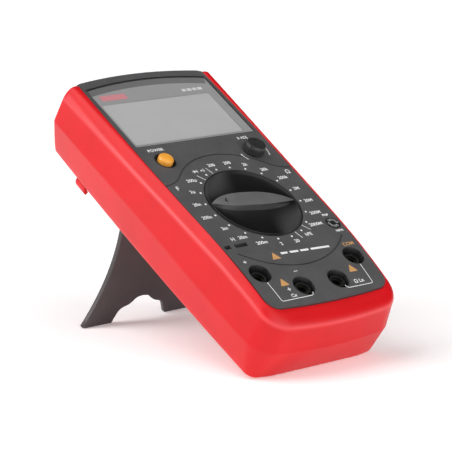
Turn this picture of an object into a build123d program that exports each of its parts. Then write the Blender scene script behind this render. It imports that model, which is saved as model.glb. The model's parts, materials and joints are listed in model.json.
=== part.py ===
from build123d import *
import math
import os

# Handheld component meter in a rubber holster, standing on its fold-out stand.
# All sizes are millimetres. "Level" means height above the holster's flat back,
# measured square to the front panel; x runs right and y runs up the panel.

# ---- Driving dimensions: how the meter stands ----
tilt = 31.5                 # angle between the panel and the table
rest_cut = 0.6              # depth of the flat worn on the holster's lower back edge
open_angle = 80.0           # stand, from folded flat to its stop

# ---- Driving dimensions: levels through the thickness ----
floor_level = 6.5           # inside of the holster's back
crease_level = 17.5         # fold between the two side facets
split_level = 22.0          # joint between the two case halves
through_level = 30.0        # openings in the front case start here
board_level = 26.5          # underside of the main board
board_top = 28.1
shoulder_level = 33.8       # step in the front case that the holster's lip covers
inner_level = 31.6          # underside of the front case near its edge
face_level = 36.0           # front panel
ridge_level = 32.0          # soft edge between the holster's side and its lip
rim_level = 36.3            # top of the holster's lip
bend_radius = 290.0         # the front falls away towards the toe on this radius
face_bend = 50.0            # where the panel starts to fall away
rim_bend = 56.0             # where the lip starts to fall away

# ---- Driving dimensions: outlines (half widths low, middle and top) ----
holster_halves = (37.6, 41.5, 41.0)
holster_back_halves = (34.8, 37.0, 35.8)
ridge_halves = (35.0, 38.8, 40.0)
lip_halves = (33.6, 35.8, 38.0)
case_halves = (34.0, 37.9, 37.4)
case_back_halves = (31.6, 34.4, 33.4)
panel_halves = (32.4, 34.9, 34.5)
board_halves = (33.0, 34.9, 34.4)
middle_y = 95.0             # where the sides bow out most
holster_head = 161.5        # open end of the holster
case_head = 161.4           # where the case's arched end starts
case_arch = 3.6             # rise of that arch
panel_toe = 9.6             # lower edge of the front panel
case_toe = 4.2
case_back_toe = 6.0
chamfer_y = 4.2             # lower back edge of the holster
chamfer_level = 11.5
wall = 2.2
gap = 0.15                  # clearance between fixed neighbours
reach = 60.0                # half the width of the blocks that trim the whole part
beyond = 12.0               # how far the cavity runs out past the open end

# ---- Driving dimensions: controls, as places on the panel ----
dial = (0.0, 70.0)
knob_radius = 21.9
knob_rim = 36.5             # top of the knob round its edge
knob_top = 38.6             # top of its grip
knob_angle = 99.0           # pointer, clockwise from the top of the panel
positions = 20
well_radius = 22.3
well_floor = 34.8
hub_radius = 4.95
rotor_radius = 18.2
socket_places = ((-25.8, 29.6), (-9.5, 19.2), (9.5, 19.2), (25.8, 29.6))
socket_bore = 2.05          # takes a 4 mm plug
recess_radius = 5.1
shroud_level = 32.9         # top of the collar inside each socket
socket_top = 31.6
socket_foot = 14.0          # rear end of the socket barrels
cup_floor = 16.0            # closed rear end of the cups round the sockets
cup_top = 28.9
well_low = 28.5             # the front case's round openings reach down to the cups
power_place = (-24.6, 103.8)
zero_place = (23.0, 101.7)
zero_radius = 4.9
zero_top = 40.6
transistor_place = (29.5, 49.6)
slot_places = ((-31.0, 46.7, 3.3), (-23.9, 46.7, 6.7))
slot_width = 2.2
case_screw_places = ((-26.5, 12.5), (26.5, 12.5), (-26.5, 155.5), (26.5, 155.5))
board_screw_places = ((-28.5, 40.7), (28.5, 40.7), (-28.5, 88.0), (28.5, 88.0))
board_foot = 37.0
board_head = 155.5
pocket = (0.0, 101.5, 64.0, 114.0)      # thinned field inside the front case
detent_ring = 19.2
button_top = 38.4
crest_radius = 33.3         # groove round the top of the dial field
crest_spread = 46.0
reverse_radius = 16.0
lower_radius = 40.0         # groove under the dial field
groove_width = 0.7
groove_depth = 0.5
lens_half = 33.0
lens_foot = 114.7
lens_head = 155.6
lens_rise = 3.6
window = (0.0, 132.0, 58.0, 29.0)
display = (0.0, 132.2, 60.0, 32.6)

# ---- Driving dimensions: stand ----
hinge_y = 122.0
hinge_level = 2.4
stand_half = 20.5
foot_outer = 31.4
foot_inner = 15.1
arch_height = 12.6
stand_thickness = 4.0
trunnion_radius = 1.5
recess_depth = 4.9
rib_places = ((-7.0, 32.0), (0.0, 32.0), (7.0, 32.0))
clip_x = 31.8               # test lead clips on the back
clip_y = 133.2
clip_length = 7.2
clip_drop = 1.0
clip_radius = 4.3
clip_bore = 2.4

tilt_sin = math.sin(math.radians(tilt))
tilt_cos = math.cos(math.radians(tilt))
chamfer_run = chamfer_y - 0.9
cut_forward = rest_cut / math.tan(math.atan2(chamfer_level, chamfer_run) - math.radians(tilt))
cut_backward = rest_cut / math.tan(math.radians(tilt))
back_y = -chamfer_y * tilt_cos + (cut_forward - cut_backward) / 2
back_z = -rest_cut - chamfer_y * tilt_sin
back = Plane(origin=(0, back_y, back_z), x_dir=(1, 0, 0), z_dir=(0, -tilt_sin, tilt_cos))
outward = Axis(back.origin, back.z_dir)
up_panel = Axis(back.origin, back.y_dir)

os.makedirs("parts", exist_ok=True)


def level(height):
    """Plane parallel to the panel, at this height above the holster's back."""
    return back.offset(height)


def place(x, y, height):
    """Point in the part's frame from panel coordinates."""
    return back.from_local_coords((x, y, height))


def footprint(height, halves, toe, head, corner, sag=3.0, arch=0.0):
    """Face with a bowed toe, gently bowed sides and a straight or arched head."""
    low, middle, top = halves
    with BuildSketch(level(height)) as sketch:
        with BuildLine():
            foot = ThreePointArc((-low, toe + sag), (0, toe), (low, toe + sag))
            right = ThreePointArc(foot @ 1, (middle, middle_y), (top, head))
            if arch > 0:
                far = ThreePointArc(right @ 1, (0, head + arch), (-top, head))
            else:
                far = Line(right @ 1, (-top, head))
            ThreePointArc(far @ 1, (-middle, middle_y), foot @ 0)
        make_face()
        fillet(sketch.vertices().sort_by(Axis.Y)[:2], corner)
        if arch > 0:
            fillet(sketch.vertices().sort_by(Axis.Y)[-2:], corner)
    return sketch.sketch


def under(height, start):
    """Everything below a level that falls away towards the toe from y = start."""
    far, low = holster_head + 4 * beyond, -2 * beyond
    with BuildSketch(Plane(origin=place(-reach, 0, 0), x_dir=back.y_dir, z_dir=(1, 0, 0))) as profile:
        with BuildLine():
            flat = Line((far, height), (start, height))
            fall = JernArc(flat @ 1, (-1, 0), bend_radius, 18)
            Polyline(fall @ 1, ((fall @ 1).X, low), (far, low), (far, height))
        make_face()
    return extrude(profile.sketch, amount=2 * reach, mode=Mode.PRIVATE)


def grown(halves, amount):
    """The same half widths, larger by amount."""
    return tuple(half + amount for half in halves)


def block(center, size, low, high, mode=Mode.ADD, corner=0.0):
    """Rectangular pad between two levels."""
    with BuildSketch(level(low)) as sketch:
        with Locations(center):
            if corner > 0:
                RectangleRounded(size[0], size[1], corner)
            else:
                Rectangle(size[0], size[1])
    extrude(sketch.sketch, amount=high - low, mode=mode)


def post(centers, radius, low, high, mode=Mode.ADD):
    """Round posts or holes between two levels."""
    with BuildSketch(level(low)) as sketch:
        with Locations(*centers):
            Circle(radius)
    extrude(sketch.sketch, amount=high - low, mode=mode)


def tube(centers, outer, inner, low, high):
    """Round tubes between two levels."""
    with BuildSketch(level(low)) as sketch:
        with Locations(*centers):
            Circle(outer)
            Circle(inner, mode=Mode.SUBTRACT)
    extrude(sketch.sketch, amount=high - low)


def lens_face(height, margin=0.0):
    """Display lens outline: straight foot, arched head."""
    with BuildSketch(level(height)) as sketch:
        with BuildLine():
            foot = Line((-lens_half, lens_foot), (lens_half, lens_foot))
            right = Line(foot @ 1, (lens_half, lens_head))
            arc = ThreePointArc(right @ 1, (0, lens_head + lens_rise), (-lens_half, lens_head))
            Line(arc @ 1, foot @ 0)
        make_face()
        fillet(sketch.vertices(), 1.2)
        if margin > 0:
            offset(amount=margin)
    return sketch.sketch


def around(radius, angle, center=dial):
    """Point on a circle, by its clockwise angle from the top of the panel."""
    turn = math.radians(angle)
    return (center[0] + radius * math.sin(turn), center[1] + radius * math.cos(turn))


def save(builder, name):
    """Label a finished piece and write it."""
    builder.part.label = name
    export_step(builder.part, "parts/" + name + ".step")


# ---- Stand ----
leg_turn = math.radians(tilt - 180 + open_angle)
leg_dir = Vector(0, math.cos(leg_turn), math.sin(leg_turn))
hinge_point = place(0, hinge_y, hinge_level)
leg_length = -hinge_point.Z / leg_dir.Z
leg = Plane(origin=hinge_point, x_dir=(1, 0, 0), z_dir=(0, -leg_dir.Z, leg_dir.Y))
foot_spare = 1.6            # trimmed off where the feet meet the table


def leg_face(plane, length, grow=0.0):
    """Stand outline: straight at the hinge, flared at the feet."""
    top, bottom = -grow, length + grow
    with BuildSketch(plane) as sketch:
        with BuildLine():
            head = Line((-stand_half - grow, top), (stand_half + grow, top))
            right = Line(head @ 1, (stand_half + grow, 22.0))
            flare = TangentArc(right @ 1, (foot_outer + grow, bottom - 2.5), tangent=(0, 1))
            edge = Line(flare @ 1, (foot_outer + grow, bottom))
            foot = Line(edge @ 1, (-foot_outer - grow, bottom))
            back_edge = Line(foot @ 1, (-foot_outer - grow, bottom - 2.5))
            left = TangentArc((-stand_half - grow, 22.0), back_edge @ 1, tangent=(0, 1))
            Line(left @ 0, head @ 0)
        make_face()
    return sketch.sketch


with BuildPart() as tilt_stand:
    outline = leg_face(leg, leg_length + foot_spare)
    extrude(outline, amount=stand_thickness / 2, both=True)
    with BuildSketch(leg) as arch:
        rise = leg_length - arch_height
        with BuildLine():
            crown = ThreePointArc((-9.3, rise + 4.2), (0, rise), (9.3, rise + 4.2))
            right_side = ThreePointArc(crown @ 1, (12.3, rise + 7.8), (foot_inner, leg_length))
            base = Polyline(right_side @ 1, (foot_inner, leg_length + 5),
                            (-foot_inner, leg_length + 5), (-foot_inner, leg_length))
            ThreePointArc(base @ 1, (-12.3, rise + 7.8), crown @ 0)
        make_face()
    extrude(arch.sketch, amount=stand_thickness, both=True, mode=Mode.SUBTRACT)
    with BuildSketch(Plane(origin=place(-stand_half, hinge_y, hinge_level), x_dir=back.y_dir,
                           z_dir=(1, 0, 0))) as barrel:
        Circle(2.1)
    extrude(barrel.sketch, amount=2 * stand_half)
    with BuildSketch(Plane(origin=place(-stand_half - 3.2, hinge_y, hinge_level),
                           x_dir=back.y_dir, z_dir=(1, 0, 0))) as trunnion:
        Circle(trunnion_radius)
    extrude(trunnion.sketch, amount=2 * stand_half + 6.4)
    with BuildSketch(leg.offset(stand_thickness / 2)) as panel_dish:
        with Locations(rib_places[1]):
            RectangleRounded(28.0, 34.0, 4.0)
    extrude(panel_dish.sketch, amount=-1.4, mode=Mode.SUBTRACT)
    with BuildSketch(leg.offset(stand_thickness / 2)) as ribs:
        with Locations(*rib_places):
            Rectangle(1.2, 34.0)
    extrude(ribs.sketch, amount=-1.4)
    split(bisect_by=Plane.XY, keep=Keep.TOP)
save(tilt_stand, "tilt_stand")

# ---- Holster ----
with BuildPart() as holster:
    back_face = footprint(0, holster_back_halves, 2.6, holster_head, 4.0)
    crease_face = footprint(crease_level, holster_halves, 0.3, holster_head, 9.0)
    ridge_face = footprint(ridge_level, ridge_halves, 1.2, holster_head, 9.0)
    lip_face = footprint(rim_level, lip_halves, 4.6, holster_head, 8.0)
    loft([back_face, crease_face])
    loft([crease_face, ridge_face])
    loft([ridge_face, lip_face])
    add(under(rim_level, rim_bend), mode=Mode.INTERSECT)
    with BuildSketch(Plane(origin=place(-reach, 0, 0), x_dir=back.y_dir, z_dir=(1, 0, 0))) as wedge:
        Polygon((-beyond, chamfer_level + beyond), (chamfer_y - chamfer_run, chamfer_level),
                (chamfer_y, 0), (chamfer_y, -beyond), (-beyond, -beyond), align=None)
    extrude(wedge.sketch, amount=2 * reach, mode=Mode.SUBTRACT)
    cavity_floor = footprint(floor_level, grown(case_back_halves, gap), case_back_toe - gap,
                             holster_head + beyond, 4.5)
    cavity_crease = footprint(crease_level, grown(case_halves, gap), case_toe - gap,
                              holster_head + beyond, 6.5)
    loft([cavity_floor, cavity_crease], mode=Mode.SUBTRACT)
    cavity = extrude(cavity_crease, amount=face_level - crease_level, mode=Mode.PRIVATE)
    add(cavity & under(shoulder_level + gap, face_bend), mode=Mode.SUBTRACT)
    lip_hole = footprint(split_level, grown(panel_halves, gap), panel_toe - gap,
                         holster_head + beyond, 5.5, 1.6)
    extrude(lip_hole, amount=rim_level, mode=Mode.SUBTRACT)
    recess = Plane(origin=place(0, hinge_y, 0), x_dir=(1, 0, 0), z_dir=-back.z_dir)
    extrude(leg_face(recess, leg_length + foot_spare, 0.6), amount=-recess_depth, mode=Mode.SUBTRACT)
    block((0, hinge_y + 0.9), (2 * stand_half + 1.2, 3.0), 0, recess_depth, Mode.SUBTRACT)
    with BuildSketch(Plane(origin=place(-stand_half - 3.6, hinge_y, hinge_level),
                           x_dir=back.y_dir, z_dir=(1, 0, 0))) as bores:
        Circle(trunnion_radius + 0.05)
    extrude(bores.sketch, amount=2 * stand_half + 7.2, mode=Mode.SUBTRACT)
    for side in (-1, 1):
        with BuildSketch(Plane(origin=place(side * clip_x, clip_y, 0), x_dir=(1, 0, 0),
                               z_dir=back.y_dir)) as clip:
            with Locations((0, clip_drop)):
                Circle(clip_radius)
                Circle(clip_bore, mode=Mode.SUBTRACT)
            Rectangle(beyond, beyond, align=(Align.CENTER, Align.MAX), mode=Mode.SUBTRACT)
            with Locations((0, clip_drop + clip_radius)):
                Rectangle(3.0, clip_radius, mode=Mode.SUBTRACT)
        extrude(clip.sketch, amount=clip_length)
    split(bisect_by=Plane.XY, keep=Keep.TOP)
save(holster, "holster")

# ---- Front case ----
with BuildPart() as front_case:
    case_face = footprint(split_level, case_halves, case_toe, case_head, 6.5, arch=case_arch)
    case_block = extrude(case_face, amount=face_level - split_level, mode=Mode.PRIVATE)
    add(case_block & under(shoulder_level, face_bend))
    panel_face = footprint(split_level, panel_halves, panel_toe, holster_head + beyond, 5.5, 1.6)
    panel_block = extrude(panel_face, amount=face_level - split_level, mode=Mode.PRIVATE)
    add(panel_block & case_block & under(face_level, face_bend))
    head_edges = front_case.faces().sort_by(outward)[-1].edges().sort_by(up_panel)[-1:]
    fillet(head_edges, 1.6)
    inner_face = footprint(split_level, grown(case_halves, -wall), case_toe + wall, case_head - wall,
                           4.5, arch=case_arch)
    inner_block = extrude(inner_face, amount=face_level - split_level, mode=Mode.PRIVATE)
    add(inner_block & under(inner_level, face_bend), mode=Mode.SUBTRACT)
    block(pocket[:2], pocket[2:], inner_level - 0.5, face_level - wall, Mode.SUBTRACT, 3.0)
    extrude(lens_face(well_floor, 0.12), amount=face_level - well_floor, mode=Mode.SUBTRACT)
    block(window[:2], window[2:], inner_level, face_level, Mode.SUBTRACT, 1.0)
    post([dial], well_radius, well_floor, face_level, Mode.SUBTRACT)
    tube([dial], detent_ring + 1.8, detent_ring, 29.6, face_level - wall)
    with BuildSketch(level(29.6)) as notches:
        with Locations(dial):
            with PolarLocations(detent_ring, positions, start_angle=9.0):
                Circle(0.9)
    extrude(notches.sketch, amount=face_level - wall - 29.6, mode=Mode.SUBTRACT)
    post(case_screw_places[:2], 3.2, split_level, through_level)
    post(case_screw_places[2:], 3.2, split_level, face_level - wall)
    post(board_screw_places, 2.4, board_top + 0.05, face_level - wall)
    post([dial], hub_radius + 0.05, through_level, face_level, Mode.SUBTRACT)
    post(socket_places, recess_radius, well_low, face_level, Mode.SUBTRACT)
    post([power_place], 4.2, through_level, face_level, Mode.SUBTRACT)
    post([zero_place], 2.6, through_level, face_level, Mode.SUBTRACT)
    post([transistor_place], 3.45, through_level, face_level, Mode.SUBTRACT)
    for slot_x, slot_y, slot_length in slot_places:
        block((slot_x, slot_y), (slot_length, slot_width), through_level, face_level, Mode.SUBTRACT)
    post(case_screw_places, 1.45, split_level, 29.0, Mode.SUBTRACT)
    post(board_screw_places, 0.9, board_top, 32.8, Mode.SUBTRACT)
    with BuildSketch(level(face_level - groove_depth)) as grooves:
        with BuildLine() as groove_lines:
            crest = CenterArc(dial, crest_radius, 90 - crest_spread, 2 * crest_spread)
            for end, side in ((0, 1), (1, -1)):
                JernArc(crest @ end, (crest % end) * (1 if end else -1), reverse_radius,
                        side * crest_spread)
        trace(groove_lines.edges(), groove_width)
    extrude(grooves.sketch, amount=groove_depth, mode=Mode.SUBTRACT)
    with BuildSketch(level(shoulder_level)) as lower_groove:
        with BuildLine() as lower_line:
            CenterArc(dial, lower_radius, 270 - crest_spread, 2 * crest_spread)
        trace(lower_line.edges(), groove_width)
    groove_block = extrude(lower_groove.sketch, amount=face_level - shoulder_level, mode=Mode.PRIVATE)
    add(groove_block - under(face_level - groove_depth, face_bend), mode=Mode.SUBTRACT)
save(front_case, "front_case")

# ---- Rear case ----
cover_face_size = (58.0, 33.5)
cover_place = (0.0, 129.75)
tongue_place = (0.0, 148.5)
cover_screw_place = (0.0, 149.8)
rear_floor = floor_level + 0.1

with BuildPart() as rear_case:
    crease_section = footprint(crease_level, case_halves, case_toe, case_head, 6.5, arch=case_arch)
    loft([footprint(rear_floor, case_back_halves, case_back_toe, case_head - 1.5, 4.5,
                    arch=case_arch), crease_section])
    extrude(crease_section, amount=split_level - crease_level - 0.05)
    inner_section = footprint(crease_level, grown(case_halves, -wall), case_toe + wall,
                              case_head - wall, 4.5, arch=case_arch)
    loft([footprint(rear_floor + wall, grown(case_back_halves, -wall), case_back_toe + wall,
                    case_head - 1.5 - wall, 3.0, arch=case_arch), inner_section], mode=Mode.SUBTRACT)
    extrude(inner_section, amount=split_level - crease_level, mode=Mode.SUBTRACT)
    post(case_screw_places, 3.6, rear_floor + 1.0, split_level - 0.05)
    post([cover_screw_place], 3.0, rear_floor + 1.0, 16.0)
    post(case_screw_places, 2.9, rear_floor - 1.0, 9.9, Mode.SUBTRACT)
    post(case_screw_places, 1.6, rear_floor, split_level, Mode.SUBTRACT)
    block(cover_place, cover_face_size, rear_floor - 1.0, rear_floor + wall + 1.2, Mode.SUBTRACT, 2.0)
    block(tongue_place, (9.0, 8.0), rear_floor - 1.0, rear_floor + wall - 0.4, Mode.SUBTRACT, 2.0)
    post([cover_screw_place], 1.25, rear_floor, 14.5, Mode.SUBTRACT)
save(rear_case, "rear_case")

with BuildPart() as battery_cover:
    cover_inside = (cover_face_size[0] - 0.4, cover_face_size[1] - 0.4)
    block(cover_place, cover_inside, rear_floor, rear_floor + wall - 0.6, corner=1.8)
    block(tongue_place, (8.6, 7.6), rear_floor, rear_floor + wall - 0.6, corner=1.8)
    block((0, cover_place[1]), (50.0, 2.0), rear_floor + wall - 0.6, rear_floor + wall - 0.2)
    for rib in range(-4, 5):
        block((rib * 4.0, 118.0), (1.6, 5.0), rear_floor - 0.05, rear_floor + 0.5, Mode.SUBTRACT)
    post([cover_screw_place], 1.3, rear_floor - 1, rear_floor + wall, Mode.SUBTRACT)
    post([cover_screw_place], 2.3, rear_floor - 1, rear_floor + 0.9, Mode.SUBTRACT)
save(battery_cover, "battery_cover")


def screw(builder_places, head_radius, shank_radius, bottom, head_height, length):
    """Pan-head screws, heads towards the back, with a cross recess."""
    post(builder_places, head_radius, bottom, bottom + head_height)
    post(builder_places, shank_radius, bottom + head_height, bottom + head_height + length)
    for turn in (0, 90):
        with BuildSketch(level(bottom)) as cross:
            with Locations(*builder_places):
                Rectangle(head_radius * 1.3, head_radius * 0.3, rotation=turn)
        extrude(cross.sketch, amount=head_height * 0.6, mode=Mode.SUBTRACT)


with BuildPart() as case_screws:
    screw(case_screw_places, 2.6, 1.4, 7.9, 1.9, 17.5)
save(case_screws, "case_screws")

with BuildPart() as board_screws:
    screw(board_screw_places, 2.0, 0.85, 25.0, 1.4, 5.6)
save(board_screws, "board_screws")

with BuildPart() as battery_cover_screw:
    screw([cover_screw_place], 2.1, 1.2, rear_floor, 0.9, 6.5)
save(battery_cover_screw, "battery_cover_screw")

# ---- Display ----
with BuildPart() as display_lens:
    extrude(lens_face(well_floor), amount=1.15)
    chamfer(display_lens.faces().sort_by(outward)[-1].edges(), 0.3)
save(display_lens, "display_lens")

with BuildPart() as lcd_panel:
    block(display[:2], display[2:], 30.7, 32.0)
    block((display[0], display[1] + 1.2), (display[2], display[3] - 2.4), 32.0, 33.3)
save(lcd_panel, "lcd_panel")

hook_places = (-26.0, 0.0, 26.0)
hook_y = display[1] - display[3] / 2 - 1.9

with BuildPart() as lcd_frame:
    frame_size = (display[2] + 3.4, display[3] + 3.4)
    block(display[:2], frame_size, board_top + 0.05, 33.5, corner=1.0)
    block(display[:2], (display[2] + 0.2, display[3] + 0.2), board_top, 34.0, Mode.SUBTRACT)
    for hook_x in hook_places:
        block((hook_x, hook_y), (4.0, 0.8), board_level - 0.5, 31.0)
save(lcd_frame, "lcd_frame")

with BuildPart() as zebra_strips:
    for strip_y in (display[1] - 14.2, display[1] + 14.2):
        block((0, strip_y), (54.0, 2.0), board_top, 30.7)
save(zebra_strips, "zebra_strips")

# ---- Main board and what it carries ----
with BuildPart() as main_board:
    extrude(footprint(board_level, board_halves, board_foot, board_head, 3.0, 0.6),
            amount=board_top - board_level)
    post(case_screw_places[2:], 3.7, split_level, through_level, Mode.SUBTRACT)
    post(board_screw_places, 1.1, split_level, through_level, Mode.SUBTRACT)
    post([dial], 4.0, split_level, through_level, Mode.SUBTRACT)
    for hook_x in hook_places:
        block((hook_x, hook_y), (4.4, 1.2), split_level, through_level, Mode.SUBTRACT)
save(main_board, "main_board")

with BuildPart() as switch_tracks:
    for ring in (8.0, 11.0, 14.0):
        tube([dial], ring + 0.9, ring, board_top, board_top + 0.05)
save(switch_tracks, "switch_tracks")

with BuildPart() as main_chip:
    block((0, 80.0), (14.0, 14.0), board_level - 2.6, board_level - 0.3)
    with BuildSketch(level(board_level - 0.9)) as leads:
        with Locations((0, 80.0)):
            with GridLocations(0.8, 15.8, 15, 2):
                Rectangle(0.35, 1.8)
            with GridLocations(15.8, 0.8, 2, 15):
                Rectangle(1.8, 0.35)
    extrude(leads.sketch, amount=0.9)
save(main_chip, "main_chip")

fuse_left = -10.0
fuse_y, fuse_level, fuse_length = 44.5, 21.8, 20.0

with BuildPart() as fuse:
    with BuildSketch(Plane(origin=place(fuse_left, fuse_y, fuse_level), x_dir=back.y_dir,
                           z_dir=(1, 0, 0))) as glass:
        Circle(2.4)
    extrude(glass.sketch, amount=fuse_length)
    for cap_x in (fuse_left, fuse_left + fuse_length - 5.5):
        with BuildSketch(Plane(origin=place(cap_x, fuse_y, fuse_level), x_dir=back.y_dir,
                               z_dir=(1, 0, 0))) as cap:
            Circle(2.6)
        extrude(cap.sketch, amount=5.5)
save(fuse, "fuse")

with BuildPart() as fuse_clips:
    for spring_x in (fuse_left + 1.0, fuse_left + fuse_length - 5.0):
        with BuildSketch(Plane(origin=place(spring_x, fuse_y, fuse_level), x_dir=back.y_dir,
                               z_dir=(1, 0, 0))) as spring:
            Circle(3.1)
            Rectangle(4.0, 4.7, align=(Align.CENTER, Align.MIN))
            Circle(2.65, mode=Mode.SUBTRACT)
            with Locations((0, -3.6)):
                Rectangle(8, 3.6, mode=Mode.SUBTRACT)
        extrude(spring.sketch, amount=3.6)
save(fuse_clips, "fuse_clips")

with BuildPart() as capacitors:
    for spot, radius, height in (((-20.0, 58.0), 4.0, 10.5), ((-20.0, 68.0), 3.2, 8.0),
                                 ((21.0, 62.0), 4.0, 10.5), ((20.0, 76.0), 3.2, 8.0)):
        post([spot], radius, board_level - height, board_level - 0.2)
save(capacitors, "capacitors")

with BuildPart() as trimmers:
    for spot in ((-22.0, 99.0), (-14.0, 99.0), (-6.0, 99.0)):
        block(spot, (6.4, 6.4), board_level - 5.0, board_level, corner=0.6)
        post([spot], 2.0, board_level - 5.6, board_level - 5.0)
        block(spot, (3.0, 0.6), board_level - 5.6, board_level - 5.2, Mode.SUBTRACT)
save(trimmers, "trimmers")

with BuildPart() as buzzer:
    post([(19.0, 100.0)], 7.5, board_level - 5.5, board_level)
    post([(19.0, 100.0)], 1.2, board_level - 6.0, board_level - 3.0, Mode.SUBTRACT)
save(buzzer, "buzzer")

# ---- Battery ----
battery_y = 129.75
battery_floor = 9.0
battery_top = 26.2
battery_middle = (battery_floor + battery_top) / 2
with BuildPart() as battery:
    block((-3.0, battery_y), (46.0, 26.0), battery_floor, battery_top)
    fillet(battery.edges().filter_by(Axis.X), 2.4)
    for spot, radius in ((-6.3, 2.9), (6.3, 3.9)):
        with BuildSketch(Plane(origin=place(20.0, battery_y + spot, battery_middle),
                               x_dir=back.y_dir, z_dir=(1, 0, 0))) as stud:
            Circle(radius)
        extrude(stud.sketch, amount=2.6)
save(battery, "battery")

with BuildPart() as battery_snap:
    block((22.9, battery_y), (5.6, 25.0), battery_middle - 6.5, battery_middle + 6.5, corner=1.0)
    for spot, radius in ((-6.3, 3.0), (6.3, 4.0)):
        with BuildSketch(Plane(origin=place(20.0, battery_y + spot, battery_middle),
                               x_dir=back.y_dir, z_dir=(1, 0, 0))) as cup:
            Circle(radius)
        extrude(cup.sketch, amount=2.8, mode=Mode.SUBTRACT)
save(battery_snap, "battery_snap")


def lead(x_step, lead_y):
    """Round wire from the snap, forward beside the battery, up to the board."""
    side_x = 27.6 + x_step
    corners = [(25.7, lead_y, battery_middle), (side_x, lead_y, battery_middle),
               (side_x, 109.0, battery_middle), (side_x, 109.0, board_level)]
    with BuildLine() as route:
        FilletPolyline(*[place(*corner) for corner in corners], radius=1.2)
    with BuildSketch(Plane(origin=route.wire() @ 0, z_dir=route.wire() % 0)) as section:
        Circle(0.6)
    sweep(section.sketch, path=route.wire())


with BuildPart() as battery_lead_red:
    lead(1.6, 124.0)
save(battery_lead_red, "battery_lead_red")

with BuildPart() as battery_lead_black:
    lead(0.0, 120.5)
save(battery_lead_black, "battery_lead_black")

# ---- Input sockets ----
with BuildPart() as jack_housing:
    tube(socket_places, recess_radius + 1.1, recess_radius, cup_floor, cup_top)
    post(socket_places, recess_radius + 1.1, cup_floor - 1.1, cup_floor)
    post(socket_places, 3.5, cup_floor, shroud_level)
    block((0, 24.0), (46.0, 3.0), 24.0, cup_top)
    post(socket_places, recess_radius, 20.0, shroud_level, Mode.SUBTRACT)
    tube(socket_places, 3.5, 2.6, cup_floor, shroud_level)
    post(socket_places, 2.62, socket_foot, socket_top + 0.2, Mode.SUBTRACT)
    post(socket_places, socket_bore + 0.1, socket_top - 0.3, shroud_level + 1, Mode.SUBTRACT)
save(jack_housing, "jack_housing")

strap_y = 38.3
for number, (socket_x, socket_y) in enumerate(socket_places, start=1):
    with BuildPart() as input_socket:
        tube([(socket_x, socket_y)], 2.6, socket_bore, socket_foot + 1.0, socket_top)
        post([(socket_x, socket_y)], 3.2, socket_foot, socket_foot + 0.85)
        post([(socket_x, socket_y)], 2.6, socket_foot, socket_foot + 1.2)
        block((socket_x, (socket_y + strap_y) / 2), (3.0, strap_y - socket_y), socket_foot,
              socket_foot + 0.8)
        block((socket_x, strap_y - 0.4), (3.0, 0.8), socket_foot, board_level)
    save(input_socket, "input_socket_" + str(number))

# ---- Transistor socket and component slots ----
with BuildPart() as transistor_socket:
    post([transistor_place], 3.35, board_top, face_level + 0.2)
    post([transistor_place], 4.4, board_top, inner_level - 0.2)
    with BuildSketch(level(30.0)) as pin_holes:
        with Locations(transistor_place):
            for start in (30, 210):
                with PolarLocations(2.1, 4, start_angle=start, angular_range=120, endpoint=True):
                    Circle(0.45)
    extrude(pin_holes.sketch, amount=7, mode=Mode.SUBTRACT)
save(transistor_socket, "transistor_socket")

with BuildPart() as slot_block:
    block((-26.5, 46.7), (14.2, 4.8), board_top, inner_level - 0.1)
    for slot_x, slot_y, slot_length in slot_places:
        block((slot_x, slot_y), (slot_length, slot_width), board_top + 0.8, 33.0, Mode.SUBTRACT)
save(slot_block, "slot_block")

with BuildPart() as slot_contacts:
    for slot_x, slot_y, slot_length in slot_places:
        for side in (-1, 1):
            block((slot_x, slot_y + side * 0.9), (slot_length - 0.6, 0.3), board_top + 0.85, 31.3)
save(slot_contacts, "slot_contacts")

# ---- Selector ----
with BuildPart() as selector_knob:
    post([dial], knob_radius, well_floor + 0.3, knob_rim)
    with BuildSketch(level(knob_rim)) as grip:
        with BuildLine():
            tip, tail = around(knob_radius - 0.6, knob_angle), around(knob_radius - 0.6, knob_angle + 180)
            left_side = around(4.3, knob_angle - 90)
            right_side = around(4.3, knob_angle + 90)
            ThreePointArc(tip, left_side, tail)
            ThreePointArc(tail, right_side, tip)
        make_face()
    extrude(grip.sketch, amount=knob_top - knob_rim)
    fillet(selector_knob.faces().sort_by(outward)[-1].edges(), 0.8)
    post([dial], hub_radius, 33.6, well_floor + 0.3)
    post([dial], 2.5, 33.0, knob_top - 1.3, Mode.SUBTRACT)
save(selector_knob, "selector_knob")

ball_angles = (knob_angle, knob_angle + 180)
with BuildPart() as selector_rotor:
    post([dial], rotor_radius, 30.0, 33.4)
    post([dial], 2.48, 33.4, knob_top - 1.6)
    post([dial], 3.9, 26.8, 30.0)
    for angle in ball_angles:
        post([around(17.5, angle)], 1.35, 29.0, 34.0, Mode.SUBTRACT)
        with BuildSketch(level(29.0)) as spring_slot:
            with BuildLine():
                CenterArc(dial, 15.9, 90 - angle - 14, 28)
            trace(line_width=1.3)
        extrude(spring_slot.sketch, amount=5, mode=Mode.SUBTRACT)
save(selector_rotor, "selector_rotor")

with BuildPart() as detent_balls:
    for angle in ball_angles:
        spot = around(17.5, angle)
        with BuildSketch(Plane(origin=place(spot[0], spot[1], 31.7), x_dir=(1, 0, 0),
                               z_dir=back.y_dir)) as half_disc:
            Circle(1.25)
            Rectangle(4, 4, align=(Align.MAX, Align.CENTER), mode=Mode.SUBTRACT)
        revolve(half_disc.sketch, axis=Axis(place(spot[0], spot[1], 31.7), back.z_dir))
save(detent_balls, "detent_balls")

with BuildPart() as detent_springs:
    for angle in ball_angles:
        with BuildSketch(level(30.4)) as leaf:
            with BuildLine():
                CenterArc(dial, 15.9, 90 - angle - 11, 22)
            trace(line_width=0.35)
        extrude(leaf.sketch, amount=2.6)
save(detent_springs, "detent_springs")

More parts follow.
